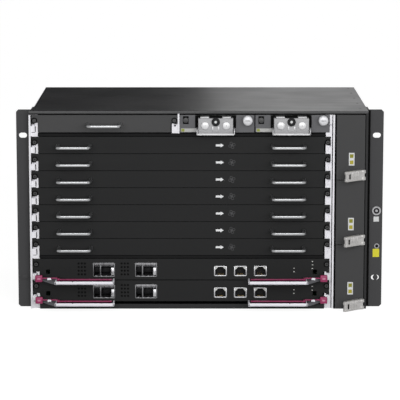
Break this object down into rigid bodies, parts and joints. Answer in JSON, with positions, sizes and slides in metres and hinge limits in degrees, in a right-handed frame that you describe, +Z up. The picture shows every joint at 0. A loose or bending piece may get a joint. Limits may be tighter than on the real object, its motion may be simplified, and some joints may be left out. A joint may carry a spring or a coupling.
{
  "type": "optical line terminal chassis",
  "caption": "Rack-mount shelf chassis for a telecom line terminal, with closed card slots, control boards, power inlets and a side column of fan modules.",
  "frame": {"origin": "centre of the chassis footprint, on the lower face of the base", "axes": "+X to the right seen from the front, +Y to the rear, +Z up; the front faces -Y"},
  "size_m": [0.4826, 0.3037, 0.2639],
  "materials": {
    "body_paint": "satin dark grey enamel",
    "panel_paint": "fine-textured dark grey enamel",
    "zinc_sheet": "zinc-plated sheet",
    "rail_cast": "satin white enamel on a casting",
    "shelf_dark": "matt black enamel",
    "handle_silver": "satin silver enamel",
    "circuit": "green solder mask",
    "port_steel": "bright plated shells",
    "lever_cast": "satin pale lavender enamel",
    "lock_magenta": "semi-gloss magenta moulding",
    "power_paint": "satin mid grey enamel",
    "terminal_grey": "matt grey moulding",
    "knob_silver": "satin turned knob",
    "fan_paint": "satin grey enamel",
    "rotor_black": "matt black moulding",
    "latch_cast": "satin light grey enamel"
  },
  "bodies": {
    "chassis": {"bottom_panel": "body_paint", "top_cover": "body_paint", "side_panel_left": "body_paint", "side_panel_right": "body_paint", "rear_panel": "zinc_sheet", "fan_bay_wall": "zinc_sheet", "rack_ear_left": "body_paint", "rack_ear_right": "body_paint", "card_rail_left": "rail_cast", "card_rail_right": "rail_cast", "cage_shelves": "shelf_dark", "bay_divider": "rail_cast", "backplane": "circuit"},
    "filler_1": {"filler_1_panel": "panel_paint", "filler_1_handles": "handle_silver"},
    "filler_2": {"filler_2_panel": "panel_paint", "filler_2_handles": "handle_silver"},
    "filler_3": {"filler_3_panel": "panel_paint", "filler_3_handles": "handle_silver"},
    "filler_4": {"filler_4_panel": "panel_paint", "filler_4_handles": "handle_silver"},
    "filler_5": {"filler_5_panel": "panel_paint", "filler_5_handles": "handle_silver"},
    "filler_6": {"filler_6_panel": "panel_paint", "filler_6_handles": "handle_silver"},
    "filler_7": {"filler_7_panel": "panel_paint", "filler_7_handles": "handle_silver"},
    "half_filler": {"half_filler_panel": "panel_paint", "half_filler_handles": "handle_silver"},
    "board_lower": {"board_lower_panel": "panel_paint", "board_lower_circuit_board": "circuit", "board_lower_port_shields": "port_steel"},
    "board_lower_lever_left": {"board_lower_lever_left": "lever_cast"},
    "board_lower_lock_left": {"board_lower_lock_left": "lock_magenta"},
    "board_lower_lever_right": {"board_lower_lever_right": "lever_cast"},
    "board_lower_lock_right": {"board_lower_lock_right": "lock_magenta"},
    "board_upper": {"board_upper_panel": "panel_paint", "board_upper_circuit_board": "circuit", "board_upper_port_shields": "port_steel"},
    "board_upper_lever_left": {"board_upper_lever_left": "lever_cast"},
    "board_upper_lock_left": {"board_upper_lock_left": "lock_magenta"},
    "board_upper_lever_right": {"board_upper_lever_right": "lever_cast"},
    "board_upper_lock_right": {"board_upper_lock_right": "lock_magenta"},
    "power_1": {"power_1_panel": "power_paint", "power_1_case": "zinc_sheet", "power_1_terminal_block": "terminal_grey"},
    "power_1_thumbscrew": {"power_1_thumbscrew": "knob_silver"},
    "power_2": {"power_2_panel": "power_paint", "power_2_case": "zinc_sheet", "power_2_terminal_block": "terminal_grey"},
    "power_2_thumbscrew": {"power_2_thumbscrew": "knob_silver"},
    "fan_1": {"fan_1_housing": "fan_paint"},
    "fan_1_rotor": {"fan_1_rotor": "rotor_black"},
    "fan_1_latch": {"fan_1_latch": "latch_cast"},
    "fan_2": {"fan_2_housing": "fan_paint"},
    "fan_2_rotor": {"fan_2_rotor": "rotor_black"},
    "fan_2_latch": {"fan_2_latch": "latch_cast"},
    "fan_3": {"fan_3_housing": "fan_paint"},
    "fan_3_rotor": {"fan_3_rotor": "rotor_black"},
    "fan_3_latch": {"fan_3_latch": "latch_cast"}
  },
  "joints": [
    {"name": "filler_1_slide", "type": "slide", "parent": "chassis", "child": "filler_1", "axis": [0, -1, 0], "range_m": [0, 0.06]},
    {"name": "filler_2_slide", "type": "slide", "parent": "chassis", "child": "filler_2", "axis": [0, -1, 0], "range_m": [0, 0.06]},
    {"name": "filler_3_slide", "type": "slide", "parent": "chassis", "child": "filler_3", "axis": [0, -1, 0], "range_m": [0, 0.06]},
    {"name": "filler_4_slide", "type": "slide", "parent": "chassis", "child": "filler_4", "axis": [0, -1, 0], "range_m": [0, 0.06]},
    {"name": "filler_5_slide", "type": "slide", "parent": "chassis", "child": "filler_5", "axis": [0, -1, 0], "range_m": [0, 0.06]},
    {"name": "filler_6_slide", "type": "slide", "parent": "chassis", "child": "filler_6", "axis": [0, -1, 0], "range_m": [0, 0.06]},
    {"name": "filler_7_slide", "type": "slide", "parent": "chassis", "child": "filler_7", "axis": [0, -1, 0], "range_m": [0, 0.06]},
    {"name": "half_filler_slide", "type": "slide", "parent": "chassis", "child": "half_filler", "axis": [0, -1, 0], "range_m": [0, 0.06]},
    {"name": "board_lower_slide", "type": "slide", "parent": "chassis", "child": "board_lower", "axis": [0, -1, 0], "range_m": [0, 0.2]},
    {"name": "board_lower_lever_left_hinge", "type": "hinge", "parent": "board_lower", "child": "board_lower_lever_left", "pos_m": [-0.2111, -0.14035, 0.0127], "axis": [0, 0, -1], "range_deg": [0, 70]},
    {"name": "board_lower_lock_left_press", "type": "slide", "parent": "board_lower_lever_left", "child": "board_lower_lock_left", "axis": [0, 1, 0], "range_m": [0, 0.0015], "stiffness_N_per_m": 400},
    {"name": "board_lower_lever_right_hinge", "type": "hinge", "parent": "board_lower", "child": "board_lower_lever_right", "pos_m": [0.1622, -0.14035, 0.0127], "axis": [0, 0, 1], "range_deg": [0, 70]},
    {"name": "board_lower_lock_right_press", "type": "slide", "parent": "board_lower_lever_right", "child": "board_lower_lock_right", "axis": [0, 1, 0], "range_m": [0, 0.0015], "stiffness_N_per_m": 400},
    {"name": "board_upper_slide", "type": "slide", "parent": "chassis", "child": "board_upper", "axis": [0, -1, 0], "range_m": [0, 0.2]},
    {"name": "board_upper_lever_left_hinge", "type": "hinge", "parent": "board_upper", "child": "board_upper_lever_left", "pos_m": [-0.2111, -0.14035, 0.0418], "axis": [0, 0, -1], "range_deg": [0, 70]},
    {"name": "board_upper_lock_left_press", "type": "slide", "parent": "board_upper_lever_left", "child": "board_upper_lock_left", "axis": [0, 1, 0], "range_m": [0, 0.0015], "stiffness_N_per_m": 400},
    {"name": "board_upper_lever_right_hinge", "type": "hinge", "parent": "board_upper", "child": "board_upper_lever_right", "pos_m": [0.1622, -0.14035, 0.0418], "axis": [0, 0, 1], "range_deg": [0, 70]},
    {"name": "board_upper_lock_right_press", "type": "slide", "parent": "board_upper_lever_right", "child": "board_upper_lock_right", "axis": [0, 1, 0], "range_m": [0, 0.0015], "stiffness_N_per_m": 400},
    {"name": "power_1_slide", "type": "slide", "parent": "chassis", "child": "power_1", "axis": [0, -1, 0], "range_m": [0, 0.2]},
    {"name": "power_1_thumbscrew_turn", "type": "hinge", "parent": "power_1", "child": "power_1_thumbscrew", "pos_m": [0.0623, -0.13385, 0.2522], "axis": [0, -1, 0], "continuous": true},
    {"name": "power_2_slide", "type": "slide", "parent": "chassis", "child": "power_2", "axis": [0, -1, 0], "range_m": [0, 0.2]},
    {"name": "power_2_thumbscrew_turn", "type": "hinge", "parent": "power_2", "child": "power_2_thumbscrew", "pos_m": [0.1609, -0.13385, 0.2522], "axis": [0, -1, 0], "continuous": true},
    {"name": "fan_1_slide", "type": "slide", "parent": "chassis", "child": "fan_1", "axis": [0, -1, 0], "range_m": [0, 0.2]},
    {"name": "fan_1_rotor_spin", "type": "hinge", "parent": "fan_1", "child": "fan_1_rotor", "pos_m": [0.1959, -0.04635, 0.21722], "axis": [1, 0, 0], "continuous": true},
    {"name": "fan_1_latch_hinge", "type": "hinge", "parent": "fan_1", "child": "fan_1_latch", "pos_m": [0.213, -0.14065, 0.18048], "axis": [0, 0, 1], "range_deg": [0, 75]},
    {"name": "fan_2_slide", "type": "slide", "parent": "chassis", "child": "fan_2", "axis": [0, -1, 0], "range_m": [0, 0.2]},
    {"name": "fan_2_rotor_spin", "type": "hinge", "parent": "fan_2", "child": "fan_2_rotor", "pos_m": [0.1959, -0.04635, 0.13095], "axis": [1, 0, 0], "continuous": true},
    {"name": "fan_2_latch_hinge", "type": "hinge", "parent": "fan_2", "child": "fan_2_latch", "pos_m": [0.213, -0.14065, 0.09422], "axis": [0, 0, 1], "range_deg": [0, 75]},
    {"name": "fan_3_slide", "type": "slide", "parent": "chassis", "child": "fan_3", "axis": [0, -1, 0], "range_m": [0, 0.2]},
    {"name": "fan_3_rotor_spin", "type": "hinge", "parent": "fan_3", "child": "fan_3_rotor", "pos_m": [0.1959, -0.04635, 0.04468], "axis": [1, 0, 0], "continuous": true},
    {"name": "fan_3_latch_hinge", "type": "hinge", "parent": "fan_3", "child": "fan_3_latch", "pos_m": [0.213, -0.14065, 0.00795], "axis": [0, 0, 1], "range_deg": [0, 75]}
  ]
}
